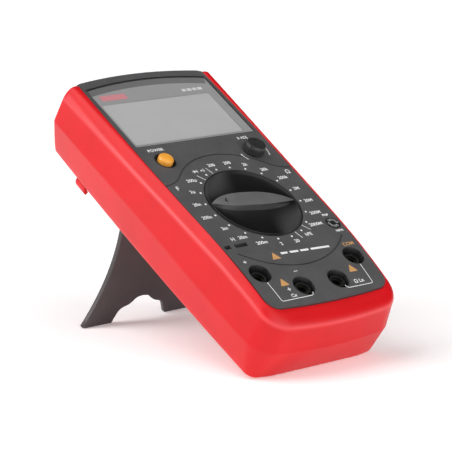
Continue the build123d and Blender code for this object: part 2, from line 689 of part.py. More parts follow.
with BuildPart() as contact_brushes:
    for ring in (8.45, 11.45, 14.45):
        with BuildSketch(level(board_top + 0.35)) as brush:
            with BuildLine():
                CenterArc(dial, ring, 40, 24)
            trace(line_width=0.8)
        extrude(brush.sketch, amount=30.0 - board_top - 0.35)
save(contact_brushes, "contact_brushes")

# ---- Power button ----
with BuildPart() as power_switch:
    block(power_place, (8.6, 8.6), board_top, 31.2, corner=0.5)
    post([power_place], 1.55, 28.5, 31.5, Mode.SUBTRACT)
save(power_switch, "power_switch")

with BuildPart() as switch_stem:
    post([power_place], 1.5, 30.2, 36.0)
save(switch_stem, "switch_stem")

with BuildPart() as power_button:
    post([power_place], 3.5, 33.0, button_top)
    post([power_place], 4.9, 32.9, 33.6)
    fillet(power_button.faces().sort_by(outward)[-1].edges(), 1.1)
    post([power_place], 1.52, 32.0, 36.1, Mode.SUBTRACT)
save(power_button, "power_button")

# ---- Zero adjuster ----
with BuildPart() as zero_pot:
    block(zero_place, (9.4, 9.4), board_top, 32.6, corner=0.8)
    post([zero_place], 1.95, 29.0, 33.0, Mode.SUBTRACT)
save(zero_pot, "zero_pot")

with BuildPart() as zero_shaft:
    post([zero_place], 1.9, 29.2, zero_top - 1.3)
save(zero_shaft, "zero_shaft")

knob_foot = face_level + 0.3
with BuildPart() as zero_knob:
    with BuildSketch(level(knob_foot)) as knob_base:
        with Locations(zero_place):
            Circle(zero_radius)
    extrude(knob_base.sketch, amount=zero_top - knob_foot, taper=4)
    fillet(zero_knob.faces().sort_by(outward)[-1].edges(), 0.7)
    with BuildSketch(level(knob_foot)) as flutes:
        with Locations(zero_place):
            with PolarLocations(zero_radius + 0.25, 16):
                Circle(0.45)
    extrude(flutes.sketch, amount=zero_top - knob_foot - 1.0, mode=Mode.SUBTRACT)
    post([zero_place], 1.92, face_level, zero_top - 1.2, Mode.SUBTRACT)
    post([around(2.9, 20, zero_place)], 0.5, zero_top - 0.5, zero_top + 1.0, Mode.SUBTRACT)
save(zero_knob, "zero_knob")
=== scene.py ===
import json
import math

import bmesh
import bpy
from mathutils import Matrix, Vector


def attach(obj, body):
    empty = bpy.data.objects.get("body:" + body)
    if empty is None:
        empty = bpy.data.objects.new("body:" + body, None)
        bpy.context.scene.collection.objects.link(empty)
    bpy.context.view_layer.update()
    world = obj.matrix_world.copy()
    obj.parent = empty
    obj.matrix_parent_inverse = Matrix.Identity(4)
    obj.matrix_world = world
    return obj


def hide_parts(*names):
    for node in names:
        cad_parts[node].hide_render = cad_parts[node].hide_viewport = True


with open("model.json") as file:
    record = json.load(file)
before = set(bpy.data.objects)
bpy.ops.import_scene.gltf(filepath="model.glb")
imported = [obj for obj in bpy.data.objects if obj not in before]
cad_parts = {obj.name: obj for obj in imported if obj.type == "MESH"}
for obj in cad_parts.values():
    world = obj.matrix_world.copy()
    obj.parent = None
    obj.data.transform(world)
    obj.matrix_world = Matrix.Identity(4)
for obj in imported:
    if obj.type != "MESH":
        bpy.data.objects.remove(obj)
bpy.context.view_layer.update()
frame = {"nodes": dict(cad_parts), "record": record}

# ---- The meter's own directions, from the frame ----
# Lengths in the meter's own system are millimetres: x right, y up the panel and
# "level" above the holster's flat back. place() turns them into metres.
MM = 0.001
DIAL = (0.0, 70.0)
FACE = 36.0                 # front panel
JOINTS = {joint["name"]: joint for joint in frame["record"]["behaviour"]["joints"]}
OUT = Vector(JOINTS["selector_spin"]["axis"]).normalized()
RIGHT = Vector((1.0, 0.0, 0.0))
UP = OUT.cross(RIGHT)
ORIGIN = Vector(JOINTS["selector_spin"]["pos_m"]) - UP * DIAL[1] * MM - OUT * FACE * MM
BEND_RADIUS = 290.0         # the front falls away towards the toe on this radius
FACE_BEND = 50.0
RIM_BEND = 56.0


def place(x, y, height):
    """Point in metres, from millimetres right, up the panel, and above the holster's back."""
    return ORIGIN + (RIGHT * x + UP * y + OUT * height) * MM


def fall(y, start):
    """How far the front has fallen away at y."""
    run = max(start - y, 0.0)
    return BEND_RADIUS - math.sqrt(BEND_RADIUS**2 - run**2)


def on_face(x, y, height=0.0):
    """Point on the front panel, or a height above it."""
    return place(x, y, FACE - fall(y, FACE_BEND) + height)


def around(radius, angle, center=DIAL):
    """Point on a circle, by its clockwise angle from the top of the panel."""
    turn = math.radians(angle)
    return center[0] + radius * math.sin(turn), center[1] + radius * math.cos(turn)


def between(stops, value):
    """Straight-line value between (position, value) stops."""
    if value <= stops[0][0]:
        return stops[0][1]
    for (a, low), (b, high) in zip(stops, stops[1:]):
        if value <= b:
            return low + (high - low) * (value - a) / (b - a)
    return stops[-1][1]


# ---- Camera, light and floor ----
CAMERA_TARGET = Vector((0.00204, 0.05862, 0.05114))
CAMERA_DISTANCE = 0.9140
CAMERA_AZIMUTH, CAMERA_ELEVATION, CAMERA_ROLL = map(math.radians, (39.118, 10.838, -1.299))
CAMERA_LENS = 167.4
STRIP = Vector((-0.84, 0.50, 0.30))             # long soft light behind, on the left
STRIP_TARGET = Vector((0.0, 0.06, 0.05))
SUNS = (("key", (-0.55, 0.25, 0.80), 1.7, 50),      # name, where it comes from, energy, spread
        ("front", (0.0, -0.97, 0.22), 1.75, 60),
        ("top", (0.05, -0.40, 0.90), 0.75, 60))
BRIGHT_SIDE = (-0.75, 0.65, -0.1)
DARKEST, BRIGHTEST = 0.12, 1.0                  # studio walls opposite the bright side, and on it
FLOOR_SIZE = 60.0
FLOOR_GLOW = 0.30


def loose(name, data):
    """An object for some data, in the scene."""
    built = bpy.data.objects.new(name, data)
    bpy.context.collection.objects.link(built)
    return built


def make_camera():
    data = bpy.data.cameras.new("camera")
    data.lens = CAMERA_LENS
    data.clip_start = 0.05
    camera = loose("camera", data)
    back = Vector((-math.sin(CAMERA_AZIMUTH) * math.cos(CAMERA_ELEVATION),
                   -math.cos(CAMERA_AZIMUTH) * math.cos(CAMERA_ELEVATION), math.sin(CAMERA_ELEVATION)))
    camera.location = CAMERA_TARGET + back * CAMERA_DISTANCE
    turn = back.to_track_quat("Z", "Y").to_matrix() @ Matrix.Rotation(CAMERA_ROLL, 3, "Z")
    camera.rotation_euler = turn.to_euler()
    bpy.context.scene.camera = camera


def add_light(name, kind, energy, source):
    """A light that shines from a direction."""
    data = bpy.data.lights.new(name, kind)
    data.energy = energy
    light = loose(name, data)
    light.rotation_euler = Vector(source).to_track_quat("Z", "Y").to_euler()
    return light


def make_world():
    """Studio light from all round: bright at the back left, dark at the front right."""
    world = bpy.data.worlds.new("studio")
    world.use_nodes = True
    nodes, links = world.node_tree.nodes, world.node_tree.links
    background = nodes["Background"]
    spot = nodes.new("ShaderNodeTexCoord")
    toward = nodes.new("ShaderNodeVectorMath")
    toward.operation = "DOT_PRODUCT"
    toward.inputs[1].default_value = BRIGHT_SIDE
    ramp = nodes.new("ShaderNodeMapRange")
    ramp.inputs["From Min"].default_value = -0.9
    ramp.inputs["From Max"].default_value = 1.0
    ramp.inputs["To Min"].default_value = DARKEST
    ramp.inputs["To Max"].default_value = BRIGHTEST
    links.new(spot.outputs["Generated"], toward.inputs[0])
    links.new(toward.outputs["Value"], ramp.inputs["Value"])
    links.new(ramp.outputs["Result"], background.inputs["Strength"])
    bpy.context.scene.world = world


def make_stage():
    bpy.context.scene.view_settings.view_transform = "Standard"
    make_world()
    strip = add_light("strip", "AREA", 3.0, STRIP - STRIP_TARGET)
    strip.data.shape = "RECTANGLE"
    strip.data.size, strip.data.size_y = 0.5, 0.16
    strip.location = STRIP
    for name, source, energy, spread in SUNS:
        add_light(name, "SUN", energy, source).data.angle = math.radians(spread)
    bpy.ops.mesh.primitive_plane_add(size=FLOOR_SIZE, location=(0.0, 0.0, -0.0002))
    floor = bpy.context.object
    floor.name = "floor"
    paper = surface("floor_paper", (0.93, 0.93, 0.93), 0.9, 300, 0.00002, 0.01)
    shader = paper.node_tree.nodes["Principled BSDF"]
    shader.inputs["Emission Color"].default_value = (1, 1, 1, 1)
    shader.inputs["Emission Strength"].default_value = FLOOR_GLOW
    floor.data.materials.append(paper)


def surface(name, color, roughness, grain=1800.0, depth=0.00003, variation=0.06, patches=90.0,
            metallic=0.0, coat=0.0, specular=0.5, alpha=1.0, strength=0.35):
    """A moulded or metal surface: fine grain in relief, with uneven colour and gloss."""
    material = bpy.data.materials.new(name)
    material.use_nodes = True
    nodes, links = material.node_tree.nodes, material.node_tree.links
    shader = nodes["Principled BSDF"]
    shader.inputs["Metallic"].default_value = metallic
    shader.inputs["Coat Weight"].default_value = coat
    shader.inputs["Coat Roughness"].default_value = 0.15
    shader.inputs["Specular IOR Level"].default_value = specular
    shader.inputs["Alpha"].default_value = alpha
    where = nodes.new("ShaderNodeTexCoord")

    fine = nodes.new("ShaderNodeTexNoise")
    fine.inputs["Scale"].default_value = grain
    fine.inputs["Detail"].default_value = 3.0
    links.new(where.outputs["Object"], fine.inputs["Vector"])
    relief = nodes.new("ShaderNodeBump")
    relief.inputs["Strength"].default_value = strength
    relief.inputs["Distance"].default_value = depth
    links.new(fine.outputs["Fac"], relief.inputs["Height"])
    links.new(relief.outputs["Normal"], shader.inputs["Normal"])

    coarse = nodes.new("ShaderNodeTexNoise")
    coarse.inputs["Scale"].default_value = patches
    coarse.inputs["Detail"].default_value = 4.0
    links.new(where.outputs["Object"], coarse.inputs["Vector"])
    shades = nodes.new("ShaderNodeValToRGB")
    shades.color_ramp.elements[0].position = 0.3
    shades.color_ramp.elements[1].position = 0.7
    shades.color_ramp.elements[0].color = (*[part * (1 - variation) for part in color], 1)
    shades.color_ramp.elements[1].color = (*[min(part * (1 + variation), 1) for part in color], 1)
    links.new(coarse.outputs["Fac"], shades.inputs["Fac"])
    links.new(shades.outputs["Color"], shader.inputs["Base Color"])
    gloss = nodes.new("ShaderNodeMapRange")
    gloss.inputs["To Min"].default_value = roughness * 0.9
    gloss.inputs["To Max"].default_value = min(roughness * 1.12, 1.0)
    links.new(fine.outputs["Fac"], gloss.inputs["Value"])
    links.new(gloss.outputs["Result"], shader.inputs["Roughness"])
    return material


RUBBER = surface("red_rubber", (0.68, 0.0075, 0.012), 0.36, 1500, 0.00004, 0.05, 60, specular=0.28,
                 strength=0.25)
CASE = surface("charcoal_plastic", (0.088, 0.086, 0.088), 0.45, 1600, 0.00008, 0.10, 120, strength=0.6)
BLACK = surface("black_plastic", (0.012, 0.012, 0.012), 0.38, 2200, 0.00003, 0.15, 150)
KNOB = surface("knob_plastic", (0.026, 0.026, 0.027), 0.34, 2600, 0.00002, 0.12, 200, strength=0.25)
# Darker and lighter copies of the knob plastic: painted shade in the scoops and on the grip's walls,
# painted light on the grip's top.
DISH_PAINTED_SHADE = surface("knob_plastic_painted_shade", (0.005, 0.005, 0.0055), 0.34, 2600, 0.00002, 0.12, 200, strength=0.25)
KNOB_TOP_PAINTED_LIGHT = surface("knob_satin_painted_light", (0.125, 0.122, 0.124), 0.55, 2600, 0.00002, 0.12, 200, strength=0.25)
STAND = surface("stand_plastic", (0.060, 0.051, 0.052), 0.42, 1800, 0.00005, 0.08, 90, strength=0.4)
PRINT = surface("white_print", (0.88, 0.88, 0.88), 0.55, 3000, 0.00001, 0.05, 400)
GREY_PRINT = surface("grey_print", (0.62, 0.62, 0.62), 0.55, 3000, 0.00001, 0.05, 400)
ORANGE_PRINT = surface("orange_print", (0.62, 0.33, 0.12), 0.55, 3000, 0.00001, 0.05, 400)
RED_PRINT = surface("red_print", (0.60, 0.24, 0.26), 0.5, 3000, 0.00001, 0.05, 400)
ORANGE = surface("button_plastic", (0.93, 0.40, 0.045), 0.30, 2500, 0.00002, 0.05, 300, coat=0.3)
LENS = surface("lens_acrylic", (0.33, 0.33, 0.33), 0.20, 900, 0.000004, 0.02, 60)
LENS_DARK = surface("lens_shade", (0.16, 0.16, 0.16), 0.22, 900, 0.000004, 0.02, 60)
LCD = surface("lcd_glass", (0.47, 0.475, 0.47), 0.22, 2200, 0.000004, 0.03, 40)
LCD_FRAME = surface("frame_plastic", (0.27, 0.275, 0.27), 0.45, 1500, 0.00003, 0.05, 100)
STEEL = surface("screw_steel", (0.55, 0.55, 0.56), 0.32, 4000, 0.00001, 0.10, 500, metallic=1.0)
BRASS = surface("plated_brass", (0.10, 0.09, 0.07), 0.38, 4000, 0.00001, 0.10, 500, metallic=1.0)
GOLD = surface("gold_plating", (0.78, 0.58, 0.22), 0.25, 4000, 0.00001, 0.08, 500, metallic=1.0)
LAMINATE = surface("board_laminate", (0.03, 0.16, 0.06), 0.38, 1400, 0.00004, 0.25, 500, coat=0.4)
EPOXY = surface("chip_epoxy", (0.018, 0.018, 0.02), 0.55, 3500, 0.00003, 0.12, 400)
GLASS = surface("fuse_glass", (0.75, 0.78, 0.78), 0.08, 900, 0.000004, 0.03, 100, alpha=0.45)
ELASTOMER = surface("zebra_elastomer", (0.55, 0.50, 0.46), 0.7, 2500, 0.00004, 0.35, 2500)
CAPACITOR = surface("capacitor_sleeve", (0.02, 0.03, 0.12), 0.35, 2000, 0.00002, 0.10, 200, coat=0.4)
TRIMMER = surface("trimmer_plastic", (0.03, 0.14, 0.45), 0.4, 2200, 0.00003, 0.08, 300)
CAN = surface("battery_can", (0.50, 0.50, 0.52), 0.35, 2500, 0.00002, 0.12, 60, metallic=0.9)
WIRE_RED = surface("wire_red", (0.55, 0.02, 0.02), 0.45, 2500, 0.00003, 0.08, 300)
WIRE_BLACK = surface("wire_black", (0.02, 0.02, 0.02), 0.45, 2500, 0.00003, 0.10, 300)
ACETAL = surface("rotor_acetal", (0.70, 0.69, 0.65), 0.42, 2200, 0.00003, 0.05, 150)
SHELL = surface("snap_plastic", (0.03, 0.03, 0.03), 0.5, 2200, 0.00004, 0.10, 150)

NODE_MATERIALS = {
    "front_case": CASE, "rear_case": CASE, "battery_cover": CASE, "case_screws": STEEL,
    "board_screws": STEEL, "battery_cover_screw": STEEL, "lcd_panel": LCD, "lcd_frame": LCD_FRAME,
    "zebra_strips": ELASTOMER, "main_board": LAMINATE, "switch_tracks": GOLD, "main_chip": EPOXY,
    "fuse": GLASS, "fuse_clips": BRASS, "capacitors": CAPACITOR, "trimmers": TRIMMER, "buzzer": BLACK,
    "battery": CAN, "battery_snap": SHELL, "battery_lead_red": WIRE_RED,
    "battery_lead_black": WIRE_BLACK, "jack_housing": BLACK, "input_socket_1": BRASS,
    "input_socket_2": BRASS, "input_socket_3": BRASS, "input_socket_4": BRASS,
    "transistor_socket": BLACK, "slot_block": BLACK, "slot_contacts": BRASS,
    "selector_rotor": ACETAL, "detent_balls": STEEL, "detent_springs": STEEL,
    "contact_brushes": BRASS, "power_switch": SHELL, "switch_stem": ACETAL, "zero_pot": TRIMMER,
    "zero_shaft": ACETAL, "tilt_stand": STAND, "holster": RUBBER, "display_lens": LENS,
    "selector_knob": KNOB, "power_button": ORANGE, "zero_knob": KNOB,
}


def paint_nodes():
    for name, node in frame["nodes"].items():
        node.data.materials.clear()
        node.data.materials.append(NODE_MATERIALS[name])


# ---- Building helpers ----
def piece(name, mesh, material, body, stands_for=()):
    """A finished mesh as an object that rides on a body."""
    built = loose(name, mesh)
    for one in material if isinstance(material, (list, tuple)) else [material]:
        mesh.materials.append(one)
    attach(built, body)
    if stands_for:
        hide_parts(*stands_for)
    return built


def evaluated(source, *modifiers):
    """The mesh of an object after some modifiers, with the object itself removed."""
    for kind, settings in modifiers:
        modifier = source.modifiers.new(kind.lower(), kind)
        for key, value in settings.items():
            setattr(modifier, key, value)
    depsgraph = bpy.context.evaluated_depsgraph_get()
    mesh = bpy.data.meshes.new_from_object(source.evaluated_get(depsgraph))
    bpy.data.objects.remove(source)
    return mesh


def mesh_of(bm, name, smooth_angle=None):
    """A bmesh as a mesh, smooth up to an angle in degrees."""
    bmesh.ops.recalc_face_normals(bm, faces=bm.faces)
    for face in bm.faces:
        face.smooth = True
    if smooth_angle is not None:
        for edge in bm.edges:
            if len(edge.link_faces) == 2 and edge.calc_face_angle(0) > math.radians(smooth_angle):
                edge.smooth = False
    mesh = bpy.data.meshes.new(name)
    bm.to_mesh(mesh)
    bm.free()
    return mesh


ON_AXIS = 1e-6              # a radius below this is a point on the axis


def bridge(bm, rings, closed=False):
    """Faces between each ring of vertices and the next, where a ring of one is a tip.

    Closed joins the last ring to the first as well.
    """
    for low, high in zip(rings, rings[1:] + rings[:1] if closed else rings[1:]):
        count = max(len(low), len(high))
        for step in range(count):
            after = (step + 1) % count
            corners = (low[step % len(low)], low[after % len(low)],
                       high[after % len(high)], high[step % len(high)])
            bm.faces.new(tuple(dict.fromkeys(corners)))


def lathe(profile, center, steps=96):
    """Closed bmesh turned from (radius, level) points round an axis square to the panel."""
    bm = bmesh.new()
    rings = []
    for radius, height in profile:
        if radius < ON_AXIS:
            rings.append([bm.verts.new(place(*center, height))])
        else:
            rings.append([bm.verts.new(place(*around(radius, 360 * step / steps, center), height))
                          for step in range(steps)])
    bridge(bm, rings, closed=min(profile[0][0], profile[-1][0]) > ON_AXIS)
    return bm


def rounded(corners, radius, steps=6):
    """A closed outline with each corner replaced by an arc."""
    points = []
    count = len(corners)
    for index in range(count):
        corner = Vector(corners[index])
        before = (Vector(corners[index - 1]) - corner).normalized()
        after = (Vector(corners[(index + 1) % count]) - corner).normalized()
        half = before.angle(after) / 2
        reach = radius / math.tan(half)
        middle = corner + (before + after).normalized() * (radius / math.sin(half))
        start = corner + before * reach - middle
        end = corner + after * reach - middle
        for step in range(steps + 1):
            spoke = start.lerp(end, step / steps).normalized() * radius
            points.append(tuple(middle + spoke))
    return points


def rounded_box(left, foot, right, head, radius):
    return rounded([(left, foot), (right, foot), (right, head), (left, head)], radius)


def flat_mesh(name, loops, thickness, bevel=0.0, lift=0.0, bend=on_face):
    """A thin plate from closed outlines in panel millimetres; inner outlines are holes."""
    curve = bpy.data.curves.new(name, "CURVE")
    curve.dimensions = "2D"
    curve.fill_mode = "BOTH"
    curve.extrude = (thickness / 2 - bevel)
    curve.bevel_depth = bevel
    curve.bevel_resolution = 2
    curve.offset = -bevel
    for loop in loops:
        spline = curve.splines.new("POLY")
        spline.points.add(len(loop) - 1)
        for point, (x, y) in zip(spline.points, loop):
            point.co = (x, y, 0, 1)
        spline.use_cyclic_u = True
    mesh = evaluated(loose(name, curve))
    for vertex in mesh.vertices:
        x, y, z = vertex.co
        vertex.co = bend(x, y, lift + thickness / 2 + z)
    return mesh


def ribbon(points, width):
    """Closed outline of a line with a width."""
    left, right = [], []
    for index, point in enumerate(points):
        before = Vector(points[max(index - 1, 0)])
        after = Vector(points[min(index + 1, len(points) - 1)])
        along = (after - before).normalized()
        side = Vector((-along.y, along.x)) * width / 2
        left.append(tuple(Vector(point) + side))
        right.append(tuple(Vector(point) - side))
    return left + right[::-1]


def split_line(a, b, step=1.0):
    """Points along a straight line, close enough to follow the bent face."""
    a, b = Vector(a), Vector(b)
    count = max(int((b - a).length / step), 1)
    return [tuple(a.lerp(b, index / count)) for index in range(count + 1)]


def disc(center, radius, steps=20):
    return [around(radius, 360 * step / steps, center) for step in range(steps)]


def joined(name, meshes):
    """Several meshes as one."""
    bm = bmesh.new()
    for mesh in meshes:
        bm.from_mesh(mesh)
        bpy.data.meshes.remove(mesh)
    mesh = bpy.data.meshes.new(name)
    bm.to_mesh(mesh)
    bm.free()
    return mesh


INK = 0.03                  # thickness of printed marks


def text_mesh(text, center, size, turn=0.0):
    """Printed text on the panel, centred on a place."""
    curve = bpy.data.curves.new("text", "FONT")
    curve.body = text
    curve.size = size
    curve.align_x = "CENTER"
    curve.align_y = "CENTER"
    curve.extrude = INK / 2
    curve.resolution_u = 3
    curve.offset = 0.045
    mesh = evaluated(loose("text", curve))
    turning = Matrix.Rotation(math.radians(turn), 3, "Z")
    for vertex in mesh.vertices:
        spot = turning @ vertex.co
        vertex.co = on_face(center[0] + spot.x, center[1] + spot.y, INK / 2 + spot.z)
    return mesh


def marks(loops_list):
    return [flat_mesh("mark", loops, INK) for loops in loops_list]


# ---- Holster ----
MIDDLE_Y = 95.0
HEAD_Y = 165.0
HEAD_SHARES = [step / 34 for step in range(34)] + [0.984, 1.0]
BACK_OUTLINE = ((34.8, 37.0, 35.8), 2.6, 4.0, 3.0)      # half widths, toe, corner, toe sag
CREASE_OUTLINE = ((37.6, 41.5, 41.0), 0.3, 9.0, 3.0)
RIDGE_OUTLINE = ((35.6, 39.2, 40.6), 1.0, 9.0, 3.0)
LIP_OUTLINE = ((33.4, 35.9, 38.3), 4.4, 8.0, 3.0)
PANEL_OUTLINE = ((32.5, 35.0, 34.6), 9.5, 5.5, 1.6)
CASE_BACK_OUTLINE = ((31.8, 34.6, 33.6), 5.8, 4.5, 3.0)
CASE_OUTLINE = ((34.2, 38.1, 37.6), 4.0, 6.5, 3.0)
CREASE_LEVELS = ((0, 15.6), (30, 16.2), (80, 18.4), (110, 18.2), (160, 17.0))
RIDGE_LEVELS = ((0, 28.8), (20, 31.2), (40, 32.4), (80, 32.2), (140, 30.9), (160, 30.2))
RIM = 36.3
TOE_SLANT = (0.9, 4.2, 11.5)        # the toe's lower facet: y at its top, y at its foot, its level
FLOOR = 6.5
SHOULDER = 33.95
RIDGE_DROP, RIDGE_WIDTH, RIDGE_HIGHLIGHT = 0.3, 0.9, 0.5     # painted highlight line along the ridge


def circle_through(a, b, c):
    """Centre and radius of the circle through three points."""
    (ax, ay), (bx, by), (cx, cy) = a, b, c
    d = 2 * (ax * (by - cy) + bx * (cy - ay) + cx * (ay - by))
    a2, b2, c2 = ax * ax + ay * ay, bx * bx + by * by, cx * cx + cy * cy
    x = (a2 * (by - cy) + b2 * (cy - ay) + c2 * (ay - by)) / d
    y = (a2 * (cx - bx) + b2 * (ax - cx) + c2 * (bx - ax)) / d
    return x, y, math.hypot(ax - x, ay - y)


def half_path(outline, head, inset=0.0):
    """Right half of an outline, from the middle of the toe round to the head."""
    (low, middle, top), toe, corner, sag = outline
    toe_x, toe_y, toe_r = circle_through((-low, toe + sag), (0, toe), (low, toe + sag))
    side_x, side_y, side_r = circle_through((low, toe + sag), (middle, MIDDLE_Y), (top, HEAD_Y))

    def on_toe(x):
        bulge = math.sqrt(toe_r**2 - (x - toe_x)**2)
        return Vector((x, toe_y - math.copysign(bulge, toe_y - toe)))

    def on_side(y):
        bulge = math.sqrt(side_r**2 - (y - side_y)**2)
        return Vector((side_x + math.copysign(bulge, middle - side_x), y))

    start, end = on_toe(low - corner), on_side(toe + sag + corner)
    tip = Vector((low, toe + sag))
    points = [on_toe((low - corner) * step / 12) for step in range(12)]
    a, b = start.lerp(tip, 0.55), end.lerp(tip, 0.55)
    for step in range(10):
        t = step / 10
        points.append(start * (1 - t)**3 + a * 3 * t * (1 - t)**2
                      + b * 3 * t**2 * (1 - t) + end * t**3)
    points += [on_side(end.y + (head - end.y) * share) for share in HEAD_SHARES]
    if inset:
        moved = []
        for index, point in enumerate(points):
            along = points[min(index + 1, len(points) - 1)] - points[max(index - 1, 0)]
            along.normalize()
            moved.append(point + Vector((-along.y, along.x)) * inset)
        moved[0].x = 0.0
        points = moved
    return points


def head_at(height):
    """The holster's open end is drawn in a little towards its back and its face."""
    return 161.6 - 0.004 * (height - 18)**2


def blended(first, second, share):
    """Outline between two others."""
    halves = tuple(a + (b - a) * share for a, b in zip(first[0], second[0]))
    return (halves, *[a + (b - a) * share for a, b in zip(first[1:], second[1:])])


def holster_ring(outline, height, inset=0.0, squeeze=0.0):
    """Right half ring of (x, y, level) points; height may be a function of y."""
    level_of = height if callable(height) else (lambda y: height)
    ring = []
    for point in half_path(outline, head_at(level_of(HEAD_Y)), inset):
        level = level_of(point.y)
        y = point.y
        slant_top, slant_foot, slant_level = TOE_SLANT
        if level < slant_level:
            y = max(y, slant_top + (slant_foot - slant_top) * (slant_level - level) / slant_level)
        ring.append((point.x - squeeze, y, level))
    ring[0] = (0.0, ring[0][1], ring[0][2])
    return ring


def crease_level(y):
    return between(CREASE_LEVELS, y)


def ridge_level(y):
    return between(RIDGE_LEVELS, y)


def rim_level(y):
    return RIM - fall(y, RIM_BEND)


def holster_bmesh():
    """An outer and an inner skin of rings, joined at the rim and the open end."""
    lower = (lambda share: lambda y: crease_level(y) * share)
    upper = (lambda share: lambda y: crease_level(y) + (ridge_level(y) - crease_level(y)) * share)
    shoulder = (lambda drop: lambda y: SHOULDER - fall(y, FACE_BEND) - drop)
    near_lip = blended(RIDGE_OUTLINE, LIP_OUTLINE, 0.5)
    outer = [
        holster_ring(BACK_OUTLINE, 0.0, 7.0),
        holster_ring(BACK_OUTLINE, 0.0, 1.8),
        holster_ring(BACK_OUTLINE, 0.15, 0.25),
        holster_ring(blended(BACK_OUTLINE, CREASE_OUTLINE, 0.1), lower(0.1)),
        holster_ring(blended(BACK_OUTLINE, CREASE_OUTLINE, 0.5), lower(0.5)),
        holster_ring(blended(BACK_OUTLINE, CREASE_OUTLINE, 0.93), lower(0.93)),
        holster_ring(CREASE_OUTLINE, crease_level, -0.1),
        holster_ring(blended(CREASE_OUTLINE, RIDGE_OUTLINE, 0.08), upper(0.08)),
        holster_ring(blended(CREASE_OUTLINE, RIDGE_OUTLINE, 0.45), upper(0.45)),
        holster_ring(blended(CREASE_OUTLINE, RIDGE_OUTLINE, 0.85), upper(0.85)),
        holster_ring(RIDGE_OUTLINE, ridge_level, -0.2),
        holster_ring(near_lip, lambda y: (ridge_level(y) * 0.45 + rim_level(y) * 0.55), -0.5),
        holster_ring(LIP_OUTLINE, rim_level),
        holster_ring(PANEL_OUTLINE, lambda y: rim_level(y) + 0.05, -0.5),
        holster_ring(PANEL_OUTLINE, lambda y: rim_level(y) - 0.25),
    ]
    inner = [
        holster_ring(CASE_BACK_OUTLINE, FLOOR, 7.0),
        holster_ring(CASE_BACK_OUTLINE, FLOOR, 1.8),
        holster_ring(CASE_BACK_OUTLINE, FLOOR + 0.3, 0.3),
        holster_ring(blended(CASE_BACK_OUTLINE, CASE_OUTLINE, 0.1), FLOOR + 1.4),
        holster_ring(blended(CASE_BACK_OUTLINE, CASE_OUTLINE, 0.5), 12.0),
        holster_ring(blended(CASE_BACK_OUTLINE, CASE_OUTLINE, 0.93), 16.5),
        holster_ring(CASE_OUTLINE, 17.5),
        holster_ring(CASE_OUTLINE, 18.6),
        holster_ring(CASE_OUTLINE, 22.0),
        holster_ring(CASE_OUTLINE, 25.5),
        holster_ring(CASE_OUTLINE, shoulder(4.0)),
        holster_ring(CASE_OUTLINE, shoulder(1.2)),
        holster_ring(CASE_OUTLINE, shoulder(0.0)),
        holster_ring(PANEL_OUTLINE, shoulder(0.0), -0.9),
        holster_ring(PANEL_OUTLINE, shoulder(-0.2)),
    ]
    bm = bmesh.new()
    grids = []
    for rings in (outer, inner):
        first = [(0.0, y, level) for (x, y, level) in rings[0]]
        grids.append([[bm.verts.new(place(*point)) for point in ring] for ring in [first] + rings])
    for grid in grids:
        for low, high in zip(grid, grid[1:]):
            for index in range(len(low) - 1):
                bm.faces.new((low[index], low[index + 1], high[index + 1], high[index]))
    skin, lining = grids
    for index in range(len(skin[0]) - 1):
        bm.faces.new((skin[-1][index], skin[-1][index + 1],
                      lining[-1][index + 1], lining[-1][index]))
    for a, b, c, d in zip(skin, skin[1:], lining[1:], lining):
        bm.faces.new((a[-1], b[-1], c[-1], d[-1]))
    bmesh.ops.remove_doubles(bm, verts=bm.verts, dist=1e-7)
    bmesh.ops.mirror(bm, geom=bm.verts[:] + bm.edges[:] + bm.faces[:], axis="X", merge_dist=1e-6)
    return bm


STAND_LENGTH = 69.3         # from the hinge to the feet, before they are trimmed at the table
STAND_HALF, FOOT_OUTER = 20.5, 31.4
FLARE_FROM = 22.0
HINGE_Y = 122.0
RECESS_LEVEL = 4.9          # depth of the recess that the folded stand lies in
RECESS_GAP = 0.6
CLIP_X, CLIP_Y, CLIP_LEVEL = 31.8, 133.2, -1.0
CLIP_LENGTH = 7.2
CLIP_RADIUS, CLIP_BORE = 4.3, 2.4
PRONGS = ((-195, -118), (-62, 15))      # first and last angle of each


def stand_side(grow=0.0):
    """Right edge of the stand in its own plane: x, and distance from the hinge."""
    half, outer = STAND_HALF + grow, FOOT_OUTER + grow
    flare = STAND_LENGTH - 2.5 - FLARE_FROM
    shares = [step / 12 for step in range(13)]
    return [(half, -grow)] + [(half + (outer - half) * share**2.05, FLARE_FROM + flare * share)
                              for share in shares]


def add_ridge_highlight(material, color):
    """Painted highlight: paler rubber along the holster's ridge, as strong as the mesh's ridge attribute
    says.
    """
    nodes, links = material.node_tree.nodes, material.node_tree.links
    shader = nodes["Principled BSDF"]
    ridge_highlight = nodes.new("ShaderNodeAttribute")
    ridge_highlight.attribute_name = "ridge_highlight"
    blend = nodes.new("ShaderNodeMix")
    blend.data_type = "RGBA"
    links.new(ridge_highlight.outputs["Fac"], blend.inputs["Factor"])
    links.new(shader.inputs["Base Color"].links[0].from_socket, blend.inputs["A"])
    blend.inputs["B"].default_value = (*color, 1.0)
    links.new(blend.outputs["Result"], shader.inputs["Base Color"])


def mark_ridge_highlight(mesh):
    """Write how near each point is to the holster's ridge, as the strength of the painted highlight
    there.
    """
    ridge_highlight = mesh.attributes.new("ridge_highlight", "FLOAT", "POINT")
    for vertex, mark in zip(mesh.vertices, ridge_highlight.data):
        spot = (vertex.co - ORIGIN) / MM
        away = spot.dot(OUT) - ridge_level(spot.dot(UP)) + RIDGE_DROP
        mark.value = RIDGE_HIGHLIGHT * math.exp(-(away / RIDGE_WIDTH)**2)


